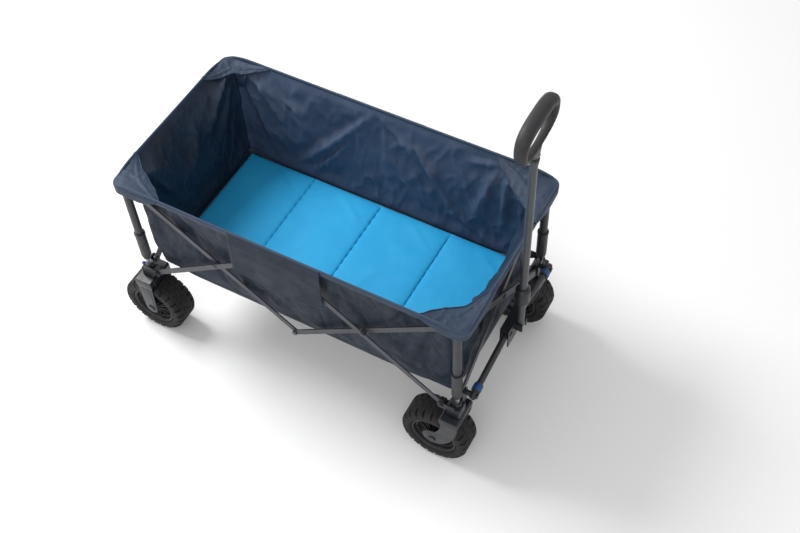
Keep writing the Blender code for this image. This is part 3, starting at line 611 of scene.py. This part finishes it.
def sock(key):
    """Corner pocket: a skirt outside the rim and a gusset that slopes in over the post."""
    e, s = CORNERS[key]
    reach_end, reach_long, via = POCKET[key]
    n, rows = 96, 26
    hang = SKIRT_ROWS
    a = np.linspace(0, 1, n)
    straight_end, straight_long = reach_end - RIM_R, reach_long - RIM_R
    bend = RIM_R * math.pi / 2
    total = straight_end + bend + straight_long
    far = a * total
    outer = np.zeros((n, 3))
    normal = np.zeros((n, 2))
    for i, d in enumerate(far):
        if d < straight_end:
            outer[i, :2] = RIM_X, RIM_Y - reach_end + d
            normal[i] = 1, 0
        elif d < straight_end + bend:
            w = (d - straight_end) / RIM_R
            outer[i, :2] = (RIM_X - RIM_R + RIM_R * math.cos(w),
                            RIM_Y - RIM_R + RIM_R * math.sin(w))
            normal[i] = math.cos(w), math.sin(w)
        else:
            outer[i, :2] = RIM_X - RIM_R - (d - straight_end - bend), RIM_Y
            normal[i] = 0, 1
    peak = np.sin(math.pi * a)
    height = 0.5640 + 0.0120 * (1 - peak ** 0.6)
    if e > 0:
        height = height - 0.005 * smoothstep(a, 0.55, 0.0)
    ends = [(RIM_X - 0.002, RIM_Y - reach_end - 0.004),
            (RIM_X - reach_long - 0.004, RIM_Y - 0.002)]
    inner = np.zeros((n, 3))
    inner[:, :2] = through([ends[0]] + via + [ends[1]], n)
    ripple = (0.0012 * np.sin(a * 11 + e + 2 * s) + 0.0008 * np.sin(a * 23 + e)) * peak
    inner[:, 0] -= ripple * 0.8
    inner[:, 1] -= ripple
    wave = 0.0016 * np.sin(a * 13 + e + 2 * s) * peak
    inner[:, 2] = 0.5715 - 0.0150 * peak ** 0.7 + wave - (0.0050 * (1 - a) if e > 0 else 0)
    grid = np.zeros((n, rows, 3))
    skirt = 0.004 + 0.0175 * np.clip(peak * 1.5, 0, 1)
    for i in range(n):
        for j in range(rows):
            if j < hang:
                v = j / hang
                out = 0.0040 + 0.0010 * math.sin(9 * a[i]) * (1 - v)
                x, y = outer[i, :2] + normal[i] * out
                z = height[i] - skirt[i] * (1 - v)
            else:
                v = (j - hang) / (rows - 1 - hang)
                start = outer[i, :2] + normal[i] * 0.0040 * (1 - v) ** 6
                x, y = start + (inner[i, :2] - start) * v
                crown = 0.0040 * math.sin(math.pi * v ** 0.6) * (0.5 + 0.5 * peak[i])
                z = height[i] + crown - (height[i] - inner[i, 2]) * v ** 1.5
            grid[i, j] = x * e, y * s, z
    bumps = rumple(grid[:, :, 0], grid[:, :, 1], 5 + e + 3 * s, 0.026, 0.0020)
    creases = rumple(grid[:, :, 0], grid[:, :, 1] * 0.6, 2 + e + 3 * s, 0.040, 0.0026, True)
    fade = np.clip((np.arange(rows)[None, :] - hang) / 4, 0, 1)
    across = (np.arange(rows)[None, :] - hang) / (rows - 1 - hang)
    pleat = 0.0034 * np.exp(-(((across - 0.66 - 0.08 * np.sin(5 * a[:, None])) / 0.060) ** 2))
    grid[:, :, 2] += pleat * peak[:, None] * (across > 0)
    grid[:, :, 2] += (np.abs(bumps) + creases) * fade
    made = cloth(f"sock_{key}", grid, HEM, 0.0016)
    own(made, "upper_" + key, "basket_fabric", "basket")
    edge = grid[:, -1].copy()
    edge[:, 2] += 0.0008
    tape = tube(f"sock_tape_{key}", edge, ring_of(0.0016, 0.0028), HEM)
    own(tape, "upper_" + key, "basket_fabric", "basket")


for key in CORNERS:
    sock(key)


# a flap's two ends, its lower edge, and the share of it that is rolled over the rim
FLAP_START, FLAP_END, FLAP_LOW, FLAP_ROLL = -0.138, 0.112, 0.446, 0.12


def flap(sign):
    """A short panel folded down outside the rim over the middle of each long side."""
    n, m = 60, 34
    x = np.linspace(FLAP_START, FLAP_END, n)
    grid = np.zeros((n, m, 3))
    for i, px in enumerate(x):
        q = px / (RIM_X - RIM_R) * BEND
        top = float(rim_height("long", sign, np.array(q)))
        share = (px - FLAP_START) / (FLAP_END - FLAP_START)
        low = FLAP_LOW - 0.018 * math.sin(share * math.pi)
        for j in range(m):
            v = j / (m - 1)
            if v < FLAP_ROLL:
                w = v / FLAP_ROLL * math.pi / 2
                y, z = 0.2490 + 0.0052 * math.sin(w), top - 0.004 + 0.0040 * math.cos(w)
            else:
                k = (v - FLAP_ROLL) / (1 - FLAP_ROLL)
                z = top - 0.004 - k * (top - 0.004 - low)
                y = 0.2542 + 0.0030 * smoothstep(k, 0.0, 0.25)
                y += 0.0012 * k * math.sin(px * 75 + 2 * sign) + 0.0008 * k * math.sin(px * 31)
            grid[i, j] = px, y * sign, z
    label = "near" if sign < 0 else "far"
    made = cloth(f"flap_{label}", grid, WALL_LONG, 0.0013)
    low_edge = grid[:, -1].copy()
    hem = tube(f"flap_hem_{label}", low_edge, ring_of(0.0014, 0.0040), WALL_LONG)
    for piece in (made, hem):
        own(piece, "upper_rn" if sign < 0 else "upper_rf", "basket_fabric", "basket")
    shrink(made, "long")
    shrink(hem, "long")


flap(-1)
flap(1)

# a short strap that hangs inside the far rear corner
tab = np.zeros((14, 8, 3))
for i, v in enumerate(np.linspace(0, 1, 14)):
    for j, w in enumerate(np.linspace(-0.5, 0.5, 8)):
        tab[i, j] = (-0.402 - 0.012 * v + 0.021 * w, 0.2140 - 0.0050 * math.sin(math.pi * v),
                     0.5540 - 0.044 * v + 0.006 * w)
strap = cloth("corner_strap", tab, HEM, 0.0016)
own(strap, "upper_rf", "basket_fabric", "basket")

# ------------------------------------------------------------------ mat
MAT_LOW, MAT_TOP = 0.2523, 0.2628
PANEL, MAT_HALF_W = 0.208, 0.2055  # a panel's length, and half its width


def mat_panel(i):
    """One of four padded panels: a soft pillow with dents, pulls and a puckered seam."""
    x0 = PANEL * (i - 2)
    n, m = 54, 92
    u = np.linspace(-1, 1, n)[:, None] * np.ones((1, m))
    v = np.ones((n, 1)) * np.linspace(-1, 1, m)[None, :]
    x = x0 + PANEL / 2 * (1 + u * 0.9970)
    y = MAT_HALF_W * v
    full = ((1 - np.abs(u) ** 9) * (1 - np.abs(v) ** 16)) ** 0.5
    dents = rumple(x, y, 2.2 + i, 0.060, 0.0011)
    creases = ridge(x, y, (x0 + 0.03, -0.17), (x0 + 0.10, 0.02), 0.0012, 0.010)
    creases = creases + ridge(x, y, (x0 + 0.17, -0.19), (x0 + 0.12, -0.06), 0.0014, 0.008)
    creases = creases + ridge(x, y, (x0 + 0.19, 0.12), (x0 + 0.09, 0.19), 0.0010, 0.009)
    pucker = 0.0006 * np.sin(y * 260 + 3 * i) * np.exp(-((1 - np.abs(u)) / 0.10))
    middle = (MAT_LOW + MAT_TOP) / 2
    crown = 0.0010 * (1 - u ** 2) * (1 - v ** 2)
    top = middle + (0.0052 + crown + dents + creases) * full + pucker
    low = middle - 0.0050 * full
    points = np.concatenate([np.stack([x, y, top], -1).reshape(-1, 3),
                             np.stack([x, y, low], -1).reshape(-1, 3)])
    faces = quads(n, m) + [tuple(reversed(f)) for f in quads(n, m, n * m)]
    edge = [(a, 0) for a in range(n)] + [(n - 1, b) for b in range(1, m)]
    edge += [(a, m - 1) for a in range(n - 2, -1, -1)] + [(0, b) for b in range(m - 2, 0, -1)]
    for k in range(len(edge)):
        (a, b), (c, d) = edge[k], edge[(k + 1) % len(edge)]
        faces.append((a * m + b, c * m + d, n * m + c * m + d, n * m + a * m + b))
    made = solid(f"mat_{i + 1}", points, faces, MAT, 70)
    own(made, f"mat_{i + 1}", "mat_fabric", f"mat_panel_{i + 1}")
    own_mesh(made)


for i in range(4):
    mat_panel(i)

# ------------------------------------------------------------------ wheels
LUGS, STEP = 24, 12  # tread blocks round a tyre, and steps of the mesh in each


def tyre(key):
    """A tyre turned from its section, with grooves cut at set beats of every tread block."""
    e, s = CORNERS[key]
    half = [(0.0621, 0.0300), (0.0636, 0.0338), (0.0662, 0.0358), (0.0700, 0.0366),
            (0.0712, 0.0371), (0.0726, 0.0366), (0.0770, 0.0366), (0.0806, 0.0364),
            (0.0834, 0.0362), (0.0858, 0.0342), (0.0880, 0.0312), (0.0896, 0.0282),
            (0.0899, 0.0240), (0.0899, 0.0180), (0.0899, 0.0132), (0.0879, 0.0126),
            (0.0879, 0.0102), (0.0899, 0.0096), (0.0900, 0.0040)]
    profile = [(r, -y) for r, y in half] + [(r, y) for r, y in reversed(half)]
    steps = LUGS * STEP
    points = []
    for i in range(steps):
        angle = 2 * math.pi * i / steps
        for r, y in profile:
            beat = (i + (STEP // 2 if y > 0 else 0)) % STEP
            notch = 1.0 if beat in (1, 2, 3) else 0.0
            reach = float(smoothstep(abs(y), 0.0165, 0.0225))
            reach *= float(smoothstep(r, 0.0785, 0.0830))
            sipe = 1.0 if beat == 7 and 0.0130 < abs(y) else 0.0
            rib = 1.0 if beat in (8, 9) and abs(y) < 0.0098 else 0.0
            r2 = r - 0.0052 * notch * reach - 0.0012 * sipe * reach - 0.0018 * rib
            y2 = y - math.copysign(0.0024 * notch * reach, y)
            points.append((AXLE_X[e] + r2 * math.cos(angle), s * WHEEL_Y + y2,
                           AXLE_Z + r2 * math.sin(angle)))
    faces = quads(steps, len(profile), wrap_n=True, wrap_m=True)
    made = solid(f"tyre_tread_{key}", points, faces, TYRE, 34)
    return own(made, "wheel_" + key, "tyre", "tyre_" + key)


def wheel_rim(key):
    """A barrel, a hub and a web, with ten pairs of splayed spokes on each face."""
    e, s = CORNERS[key]
    spot, axis = (AXLE_X[e], s * WHEEL_Y, AXLE_Z), (0, 1, 0)
    barrel = [(0.0612, 0.0290), (0.0618, 0.0318), (0.0604, 0.0334), (0.0580, 0.0338),
              (0.0562, 0.0325), (0.0550, 0.0280), (0.0535, 0.0160), (0.0525, 0.0050)]
    barrel = barrel + [(r, -y) for r, y in reversed(barrel)]
    step_ring = [(0.0536, 0.0230), (0.0500, 0.0225), (0.0492, 0.0210), (0.0500, 0.0195),
                 (0.0534, 0.0190)]
    hub = [(0.0168, 0.0040), (0.0160, 0.0325), (0.0148, 0.0342), (0.0112, 0.0345),
           (0.0104, 0.0330), (0.0066, 0.0330)]
    hub = hub + [(r, -y) for r, y in reversed(hub)]
    web = [(0.0530, 0.0038), (0.0530, -0.0038), (0.0160, -0.0045), (0.0160, 0.0045)]
    parts = [(*turned(profile, spot, axis, steps, True), RIM)
             for profile, steps in ((barrel, 72), (hub, 32), (web, 48))]
    for face in (-1, 1):
        ring = [(r, y * face) for r, y in step_ring]
        parts.append((*turned(ring, spot, axis, 72, True), RIM))
        points, faces = [], []
        for i in range(20):
            middle = 2 * math.pi * (i // 2 + 0.5) / 10
            angle = middle + (0.085 if i % 2 else -0.085)
            tilt = angle + (0.050 if i % 2 else -0.050)
            for r, a, depth in ((0.0158, angle, 0.0300), (0.0350, (angle + tilt) / 2, 0.0235),
                                (0.0532, tilt, 0.0225)):
                px, pz = math.cos(a), math.sin(a)
                for w in (-0.0011, 0.0011):
                    for d in (0.0030, depth):
                        points.append((spot[0] + r * px - w * pz, spot[1] + face * d,
                                       spot[2] + r * pz + w * px))
            base = i * 12
            for k in (0, 4):
                a = base + k
                faces += [(a, a + 4, a + 5, a + 1), (a + 2, a + 3, a + 7, a + 6),
                          (a + 1, a + 5, a + 7, a + 3), (a, a + 2, a + 6, a + 4)]
            faces += [(base, base + 1, base + 3, base + 2),
                      (base + 8, base + 10, base + 11, base + 9)]
        parts.append((points, faces, RIM))
    made = gather(f"rim_spoked_{key}", parts)
    return own(made, "wheel_" + key, "wheel_plastic", "rim_" + key)


for key in CORNERS:
    tyre(key)
    wheel_rim(key)

# ------------------------------------------------------------------ forks
# where a far fork's plates and crown lie across the wagon
PLATES = {"out": (0.2692, 0.2727), "in": (0.1903, 0.1938)}
CROWN_Y = (0.1893, 0.2737)


def span_of(s, low, high):
    """A stretch across the wagon, on its far side or mirrored to its near side."""
    return (low, high) if s > 0 else (-high, -low)


def fork(key):
    """Two cheek plates under a crown: straight at the rear, swept back on the front casters."""
    e, s = CORNERS[key]
    ax = AXLE_X[e]
    if e < 0:
        loop = [(ax - 0.0230, 0.2080), (ax - 0.0225, 0.180), (ax - 0.0185, 0.092)]
        loop += arc(ax, AXLE_Z - 0.001, 0.0180, 0.0180, 180, 360, 16)
        loop += [(ax + 0.0185, 0.092), (ax + 0.0225, 0.180), (ax + 0.0230, 0.2080)]
        inset = [(ax - 0.0165, 0.1780), (ax - 0.0130, 0.094)]
        inset += arc(ax, AXLE_Z - 0.001, 0.0128, 0.0128, 180, 360, 14)
        inset += [(ax + 0.0130, 0.094), (ax + 0.0165, 0.1780)]
        crown = (-0.4795, -0.4285)
    else:
        loop = arc(0.398, 0.205, 0.073, 0.131, 0, -90, 22)
        loop += arc(0.398, 0.0985, 0.0245, 0.0245, -90, -270, 14)[1:]
        loop += arc(0.398, 0.205, 0.029, 0.082, -90, 0, 16)[1:]
        inset = None
        crown = (0.4200, 0.4700)
    parts = []
    for where, (low, high) in PLATES.items():
        y0, y1 = span_of(s, low, high)
        parts.append((*plate([loop, circle(ax, AXLE_Z, 0.0066)], y0, y1, 0.0009, 3),
                      FORK_GREY))
        if inset and where == "out":
            y0, y1 = span_of(s, high - 0.0004, high + 0.0010)
            parts.append((*plate([inset, circle(ax, AXLE_Z, 0.0104)], y0, y1, 0.0006, 2),
                          FORK_GREY))
    y0, y1 = span_of(s, *CROWN_Y)
    top = 0.2104 if e < 0 else 0.2065
    low = 0.181 if e < 0 else 0.178
    cover = [(crown[0] + 0.005, low), (crown[1] - 0.005, low), (crown[1], low + 0.006),
             (crown[1], top - 0.004), (crown[1] - 0.004, top), (crown[0] + 0.004, top),
             (crown[0], top - 0.004), (crown[0], low + 0.006)]
    parts.append((*plate([cover], y0, y1, 0.0016, 3), HOUSING))
    for band in (0.2085, 0.2545) if e < 0 else ():  # raised ribs round the housing
        b0, b1 = span_of(s, band, band + 0.0040)
        raised = [(x + (0.0010 if x > sum(crown) / 2 else -0.0010), z - 0.0006) for x, z in cover]
        parts.append((*plate([raised], b0, b1, 0.0008, 2), HOUSING))
    made = gather(f"fork_plates_{key}", parts)
    return own(made, ("corner_" if e < 0 else "caster_") + key, "frame_steel", "fork_" + key)


for key in CORNERS:
    fork(key)

# ------------------------------------------------------------------ handle grip


def power_curve(angle, power):
    """Cosine and sine of an angle, squared off towards a rounded rectangle."""
    c, k = math.cos(angle), math.sin(angle)
    return (math.copysign(abs(c) ** (2 / power), c), math.copysign(abs(k) ** (2 / power), k))


HANDLE_X = 0.502
GRIP_X, GRIP_TOP, GRIP_LOW, GRIP_W = 0.5030, 1.044, 0.9385, 0.172
NECK_LOW, NECK_RISE = 0.9123, 0.0294  # the neck's foot, and its height up to the loop
GROOVES = (30, 146)  # steps round the loop where a fine groove rings it


def grip():
    """A thick top bar, slimmer sides and a thin lower bar, on a flared neck with a collar."""
    top_b, side_b, low_b = 0.0160, 0.0105, 0.0055
    high, low = GRIP_TOP - top_b, GRIP_LOW + low_b
    middle, half = (high + low) / 2, (high - low) / 2
    count, around, centre = 176, 28, []
    for i in range(count):
        c, k = power_curve(2 * math.pi * i / count, 3.0)
        drop = max(0.0, -k)
        y = (GRIP_W / 2 - side_b) * c * (1 - 0.09 * drop ** 1.5)
        centre.append((y, middle + half * k - 0.005 * drop * (1 - abs(y) / 0.08)))
    points = []
    for i, (y, z) in enumerate(centre):
        (y0, z0), (y1, z1) = centre[i - 1], centre[(i + 1) % count]
        along = Vector((y1 - y0, z1 - z0)).normalized()
        up = max(0.0, (z - middle) / half) ** 1.5
        down = max(0.0, (middle - z) / half) ** 1.5
        groove = sum(math.exp(-((i - at) / 0.9) ** 2) for at in reversed(GROOVES))
        slim = 1 - 0.055 * groove
        deep = (side_b + (top_b - side_b) * up - (side_b - low_b) * down) * slim
        wide = (0.0140 + 0.0024 * up - 0.0045 * down) * slim
        for j in range(around):
            c, k = power_curve(2 * math.pi * j / around, 2.3)
            points.append((GRIP_X + wide * c, y + along.y * deep * k, z - along.x * deep * k))
    faces = quads(count, around, wrap_n=True, wrap_m=True)
    made = solid("grip_loop", points, faces, GRIP, 60)
    own(made, "handle_slider", "black_plastic", "handle_grip")
    neck, around = [], 36
    rows = [(NECK_LOW, 0.0098, 0.0108), (0.9130, 0.0105, 0.0115), (0.9160, 0.0108, 0.0125),
            (0.9250, 0.0108, 0.0165), (0.9330, 0.0102, 0.0235), (0.9390, 0.0091, 0.0308),
            (0.9417, 0.0060, 0.0322)]
    for z, a, b in rows:
        share = (z - NECK_LOW) / NECK_RISE
        for k in range(around):
            w = 2 * math.pi * k / around
            neck.append((HANDLE_X + (GRIP_X - HANDLE_X) * share + a * math.cos(w),
                         b * math.sin(w), z))
    faces = quads(len(rows), around, wrap_m=True)
    faces += [tuple(range(around)), tuple(reversed(range(len(neck) - around, len(neck))))]
    made = gather("grip_neck", [(neck, faces, NECK)], 60)
    own(made, "handle_slider", "black_plastic", "handle_grip")
    collar = [(0.0110, 0.9020), (0.0117, 0.9026), (0.0117, 0.9078), (0.0112, 0.9084),
              (0.0110, 0.9084)]
    points, faces = turned(collar, (HANDLE_X, 0, 0), (0, 0, 1), 36, True)
    made = gather("handle_collar", [(points, faces, BLACK)])
    own(made, "handle", "black_plastic")


grip()

# ------------------------------------------------------------------ carried-over CAD nodes
FINISH = {
    "bracket": HOUSING, "inner_post": BRIGHT, "upper_tube": POST, "sleeve": BLACK,
    "axle": DARK_STEEL, "side_bar": BAR, "end_bar": DARK_STEEL, "cross_tube": DARK_STEEL,
    "handle_hub": HOUSING, "handle_stem": STEEL, "handle_lock_housing": BLACK,
    "handle_outer_tube": STEEL, "handle_inner_tube": STEEL, "handle_button": BRIGHT,
}
for name, obj in NODES.items():
    for prefix, material in FINISH.items():
        if name.startswith(prefix):
            for place in obj.material_slots:
                place.material = material

# ------------------------------------------------------------------ small fittings
# profiles as (radius, along) pairs
BOOT = [(0.0072, 0.2420), (0.0125, 0.2420), (0.0125, 0.2490), (0.0105, 0.2520), (0.0072, 0.2520)]
PIN = [(0.0, 0.0080), (0.0036, 0.0078), (0.0046, 0.0068), (0.0046, -0.0010)]
for key, (e, s) in CORNERS.items():
    # boot round the post's foot and a blue pin at the bracket's outer corner
    parts = [(*turned(BOOT, (e * POST_X, s * POST_Y, 0), (0, 0, 1), 24, True), BLACK)]
    if e < 0:
        parts.append((*turned(PIN, (-0.4640, s * 0.2385, 0.2420), (-0.5, 0, 0.85), 16), BLUE))
    else:
        parts.append((*turned(PIN, (0.4600, s * 0.2440, 0.2300), (1, 0, 0), 16), BLUE))
    own(gather(f"bracket_boot_{key}", parts), "corner_" + key, "black_plastic")

# a blue collar round each half of the lower cross tube, near its outer end
CROSS_COLLAR = [(0.0112, 0.0085), (0.0120, 0.0078), (0.0120, -0.0078), (0.0112, -0.0085)]
for side, s in (("near", -1), ("far", 1)):
    start = Vector((0.4815, s * 0.20925, 0.270))
    end = Vector((0.4815, s * 0.030, 0.2983))
    run = (end - start).normalized()
    spot = start + run * 0.020
    made = gather(f"cross_collar_{side}", [(*turned(CROSS_COLLAR, spot, run, 32, True), BLUE)])
    own(made, "cross_" + side, "black_plastic")

# ------------------------------------------------------------------ floor, light and camera
floor = Paint("studio_floor", Roughness=0.85)
floor.set(floor.out, {"Base Color": floor.mix(floor.noise(3.0), (0.72, 0.72, 0.72),
                                              (0.73, 0.73, 0.73))})
REACH = 40.0  # half size of the studio floor
ground = solid("studio_ground", [(x * REACH, y * REACH, 0)
                                 for x, y in ((-1, -1), (1, -1), (1, 1), (-1, 1))],
               [(0, 1, 2, 3)], floor.made, 40, False)

world = bpy.data.worlds.new("studio")
bpy.context.scene.world = world
world.use_nodes = True
sky = world.node_tree.nodes["Background"]
sky.inputs["Color"].default_value = (1.0, 1.0, 1.0, 1.0)
sky.inputs["Strength"].default_value = 0.85


def softbox(name, spot, aim, size, energy):
    """A round area light at a spot, aimed at a point."""
    lamp = bpy.data.lights.new(name, "AREA")
    lamp.shape, lamp.size, lamp.energy = "DISK", size, energy
    made = bpy.data.objects.new(name, lamp)
    made.location = spot
    made.rotation_euler = (Vector(aim) - Vector(spot)).to_track_quat("-Z", "Y").to_euler()
    bpy.context.scene.collection.objects.link(made)


softbox("key", (-2.3, 0.0, 3.0), (0.0, 0.0, 0.3), 1.6, 142.0)
softbox("fill", (0.8, -2.6, 2.4), (0.0, 0.0, 0.3), 2.6, 22.0)

scene = bpy.context.scene
scene.view_settings.view_transform = "Standard"

# the camera: the direction it looks from, its roll, its place and its lens
AZIMUTH, ELEVATION, ROLL = (math.radians(a) for a in (31.406, 53.154, -3.242))
CAMERA_SPOT, FOCAL, SENSOR = (1.1093, -1.5182, 2.7104), 53.67, 36.0
away = Vector((math.cos(ELEVATION) * math.sin(AZIMUTH), -math.cos(ELEVATION) * math.cos(AZIMUTH),
               math.sin(ELEVATION)))
right = (-away).cross(Vector((0, 0, 1))).normalized()
upward = right.cross(-away)
turned_right = right * math.cos(ROLL) + upward * math.sin(ROLL)
turned_up = upward * math.cos(ROLL) - right * math.sin(ROLL)
lens = bpy.data.cameras.new("camera")
lens.lens, lens.sensor_width = FOCAL, SENSOR
camera = bpy.data.objects.new("camera", lens)
turn = Matrix((turned_right, turned_up, away)).transposed().to_4x4()
camera.matrix_world = Matrix.Translation(CAMERA_SPOT) @ turn
scene.collection.objects.link(camera)
scene.camera = camera
